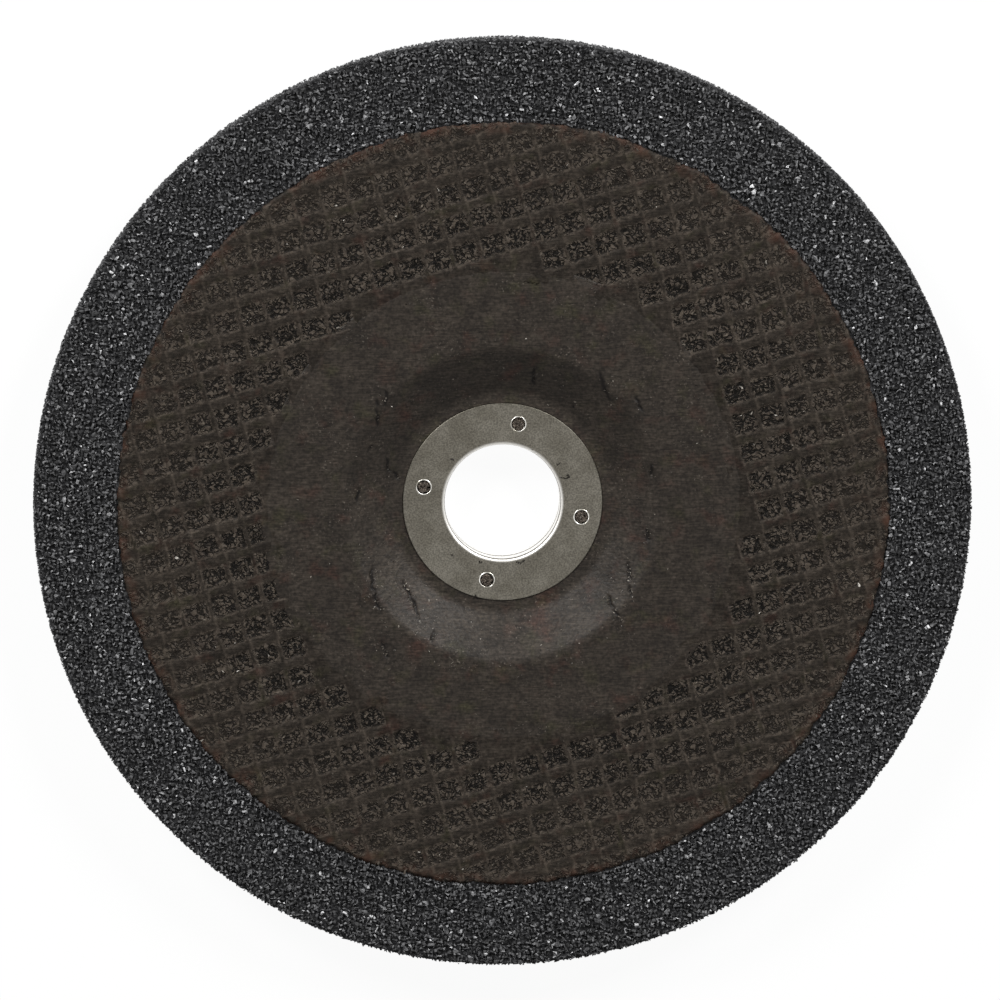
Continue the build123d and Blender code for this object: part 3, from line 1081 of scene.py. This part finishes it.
class GRINDING_DISC_OT_ring(bpy.types.Operator):
    """Pressed steel ring with the burnished edges of its holes, painted bright as painted highlight too, and
    the grit behind them
    """

    bl_idname = "grinding_disc.ring"
    bl_label = "Centre ring"

    # Specks on the flange, and strokes of them that run from point to point, in millimetres
    marks = [
        (10.5, 7.2),
        (10.8, 7.4),
        (-9.7, -10.2),
        (6.8, -10.1),
        (-5.3, -18.2),
        (-4.6, -11.6),
        (-4.1, -11.7),
    ]
    strokes = [
        [(11.2, 4.7), (12.1, 4.5), (12.8, 4.75), (12.6, 5.15), (12.1, 5.2)],
        [(2.7, -11.7), (3.4, -11.9), (4.3, -11.3)],
        [(-9.9, 8.5), (-9.3, 8.2)],
    ]

    # Grains that fill each hole
    hole_grains = 130

    def hole_centres(self):
        """Middles of the punched holes, level with the flange."""
        centres = []
        for index in range(RING_HOLES):
            turn = FIRST_RING_HOLE + index * 2 * pi / RING_HOLES
            centres.append(Vector((RING_HOLE_CIRCLE * cos(turn), RING_HOLE_CIRCLE * sin(turn), FLANGE_TOP)))
        return centres

    def add_hole_edges(self):
        """Burrs round the holes, each spun from a small section that stands just above the flange."""
        width = 0.23 * MM
        height = 0.05 * MM
        bm = bmesh.new()
        for centre in self.hole_centres():
            start = centre + Vector((RING_HOLE_RADIUS - 0.03 * MM, 0, 0))
            section = [
                bm.verts.new(start + Vector((across * width, 0, up * height)))
                for across, up in ((0, -6), (0, 0.2), (0.35, 1), (0.8, 0.6), (1, -0.6), (1, -6))
            ]
            loop = [bm.edges.new(pair) for pair in zip(section, section[1:] + section[:1])]
            bmesh.ops.spin(
                bm,
                geom=section + loop,
                cent=centre,
                axis=UP,
                angle=2 * pi,
                steps=48,
                use_merge=True,
            )
        bmesh.ops.recalc_face_normals(bm, faces=bm.faces[:])
        mesh = mesh_from(bm, "hole_edges", smooth=True)
        add_piece("hole_edges", mesh, burnished_and_highlit_steel())

    def add_hole_grains(self, rng):
        """Grit and resin that fill the holes to just below the flange."""
        places = []
        for centre in self.hole_centres():
            for _ in range(self.hole_grains):
                reach = RING_HOLE_RADIUS * 0.85 * sqrt(rng.random())
                heading = rng.uniform(0, 2 * pi)
                places.append(centre + Vector((reach * cos(heading), reach * sin(heading), -0.06 * MM)))
        places = np.array([tuple(place) for place in places])
        count = len(places)
        stops = [(0.0, "#4F4740"), (0.8, "#665D54"), (1.0, "#7F766B")]
        grit = corundum_grit("grit_keyed_into_ring", stops, 0.15)
        sizes = rng.uniform(0.45, 0.8, count) * MM
        sinks = rng.uniform(-0.04, 0.06, count) * MM
        tones = rng.random(count)
        add_grains("hole_grains", places, sizes, sinks, tones, grit, rng)

    def add_marks(self, rng):
        """Specks of resin that the press left on the steel."""
        spots = list(self.marks)
        for stroke in self.strokes:
            for start, end in zip(stroke, stroke[1:]):
                run_x, run_y = end[0] - start[0], end[1] - start[1]
                steps = int(hypot(run_x, run_y) / 0.16)
                for step in range(steps):
                    part = step / steps
                    spots.append((start[0] + part * run_x, start[1] + part * run_y))
        places = np.array([(x * MM, y * MM, FLANGE_TOP) for x, y in spots])
        count = len(places)
        sizes = np.where(np.arange(count) < len(self.marks), 1.0, 0.55) * rng.uniform(0.8, 1.2, count) * MM
        sinks = np.full(count, -0.2 * MM)
        tones = np.zeros(count)
        resin = corundum_grit("resin_specks_on_steel", [(0.0, "#211D1A"), (1.0, "#3A342E")], 0.12)
        slimness = (0.4, 0.7)
        add_grains("ring_marks", places, sizes, sinks, tones, resin, rng, slimness=slimness)

    def execute(self, context):
        rng = np.random.default_rng(context.scene.grinding_disc_grit.seed + 2)
        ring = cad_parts[RING]
        ring.data.materials.clear()
        ring.data.materials.append(pressed_steel())
        self.add_hole_edges()
        self.add_hole_grains(rng)
        self.add_marks(rng)
        return {"FINISHED"}


class GRINDING_DISC_OT_studio(bpy.types.Operator):
    """Pale floor, soft key lights, even fill and the camera"""

    bl_idname = "grinding_disc.studio"
    bl_label = "Studio"

    def seen_white(self, tree):
        """1 for what the camera, glossy and clear surfaces see, 0 for light on the object."""
        path = add(tree, "ShaderNodeLightPath")
        seen = path.outputs["Is Camera Ray"]
        for kind in ("Is Glossy Ray", "Is Transmission Ray"):
            sockets = {0: seen, 1: path.outputs[kind]}
            seen = add(tree, "ShaderNodeMath", sockets, operation="MAXIMUM").outputs[0]
        return seen

    def add_world(self, scene, settings):
        """Faint even light on the object, with white all round it."""
        world = bpy.data.worlds.new("studio")
        scene.world = world
        tree = empty_tree(world)
        fill = add(tree, "ShaderNodeBackground", {"Color": "#FFFFFF", "Strength": settings.fill})
        backdrop = add(tree, "ShaderNodeBackground", {"Color": "#FFFFFF", "Strength": 1.0})
        sockets = {0: self.seen_white(tree), 1: fill.outputs[0], 2: backdrop.outputs[0]}
        mixed = add(tree, "ShaderNodeMixShader", sockets)
        add(tree, "ShaderNodeOutputWorld", {"Surface": mixed.outputs[0]})

    def add_floor(self, scene):
        """White floor that keeps a faint shadow of the disc."""
        bm = bmesh.new()
        reach = 3.0
        bmesh.ops.create_grid(bm, x_segments=1, y_segments=1, size=reach)
        floor = bpy.data.objects.new("floor", mesh_from(bm, "floor"))
        scene.collection.objects.link(floor)
        material = bpy.data.materials.new("white_studio_floor")
        tree = empty_tree(material)
        matt = add(tree, "ShaderNodeBsdfDiffuse", {"Color": "#F3F3F3"})
        glow = add(tree, "ShaderNodeEmission", {"Color": "#FFFFFF", "Strength": 1.0})
        faint = add(tree, "ShaderNodeMixShader", {0: 0.95, 1: matt.outputs[0], 2: glow.outputs[0]})
        sockets = {0: self.seen_white(tree), 1: matt.outputs[0], 2: faint.outputs[0]}
        mixed = add(tree, "ShaderNodeMixShader", sockets)
        add(tree, "ShaderNodeOutputMaterial", {"Surface": mixed.outputs[0]})
        floor.data.materials.append(material)

    def add_key(self, scene, settings, side):
        """Soft lamp beyond the far end of the disc, to one side, aimed at the disc's middle."""
        lamp = bpy.data.lights.new("key", "AREA")
        lamp.energy = settings.key_power
        lamp.shape = "DISK"
        lamp.size = settings.key_size
        key = bpy.data.objects.new("key", lamp)
        scene.collection.objects.link(key)
        aside = side * settings.key_spread
        level = cos(settings.key_height)
        towards = Vector((sin(aside) * level, cos(aside) * level, sin(settings.key_height)))
        place = towards * settings.key_distance
        key.matrix_world = Matrix.Translation(place) @ place.to_track_quat("Z", "Y").to_matrix().to_4x4()

    def add_camera(self, scene, settings):
        """Camera that looks down on the disc, tilted a little towards its far end."""
        lean = Vector((-0.28, 0.96, 0)).normalized()
        towards = Vector(UP) * cos(settings.tilt) + lean * sin(settings.tilt)
        aim = Vector((-0.65 * MM, 0.88 * MM, FACE - 1.5 * MM))
        right = Vector((0, 1, 0)).cross(towards).normalized()
        up = towards.cross(right)
        turn = Matrix((right, up, towards)).transposed().to_4x4()
        lens = bpy.data.cameras.new("camera")
        lens.sensor_width = 36
        lens.lens = lens.sensor_width * settings.distance / settings.picture_width
        lens.clip_end = 20
        camera = bpy.data.objects.new("camera", lens)
        scene.collection.objects.link(camera)
        camera.matrix_world = Matrix.Translation(aim + towards * settings.distance) @ turn
        scene.camera = camera

    def execute(self, context):
        settings = context.scene.grinding_disc_studio
        scene = context.scene
        scene.view_settings.view_transform = "Standard"
        self.add_world(scene, settings)
        self.add_floor(scene)
        for side in (-1, 1):
            self.add_key(scene, settings, side)
        self.add_camera(scene, settings)
        return {"FINISHED"}


class GRINDING_DISC_PT_panel(bpy.types.Panel):
    """Lists the steps that dress the disc, and their settings"""

    bl_label = "Grinding Disc"
    bl_idname = "GRINDING_DISC_PT_panel"
    bl_space_type = "VIEW_3D"
    bl_region_type = "UI"
    bl_category = "Grinding Disc"

    def draw(self, context):
        for step in STEPS:
            self.layout.operator(step.bl_idname)
        for group in GROUPS:
            settings = getattr(context.scene, group)
            for name in settings.__annotations__:
                self.layout.prop(settings, name)


GROUPS = {
    "grinding_disc_grit": GritSettings,
    "grinding_disc_cloth": ClothSettings,
    "grinding_disc_finish": FinishSettings,
    "grinding_disc_studio": StudioSettings,
}
STEPS = (
    GRINDING_DISC_OT_wheel,
    GRINDING_DISC_OT_cloth,
    GRINDING_DISC_OT_sheet,
    GRINDING_DISC_OT_ring,
    GRINDING_DISC_OT_studio,
)
CLASSES = (*GROUPS.values(), *STEPS, GRINDING_DISC_PT_panel)


def register():
    for cls in CLASSES:
        bpy.utils.register_class(cls)
    for name, group in GROUPS.items():
        setattr(bpy.types.Scene, name, PointerProperty(type=group))


def unregister():
    for name in GROUPS:
        delattr(bpy.types.Scene, name)
    for cls in reversed(CLASSES):
        bpy.utils.unregister_class(cls)


def main():
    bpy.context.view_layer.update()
    register()
    bpy.ops.grinding_disc.wheel()
    bpy.ops.grinding_disc.cloth()
    bpy.ops.grinding_disc.sheet()
    bpy.ops.grinding_disc.ring()
    bpy.ops.grinding_disc.studio()


if __name__ == "__main__":
    main()
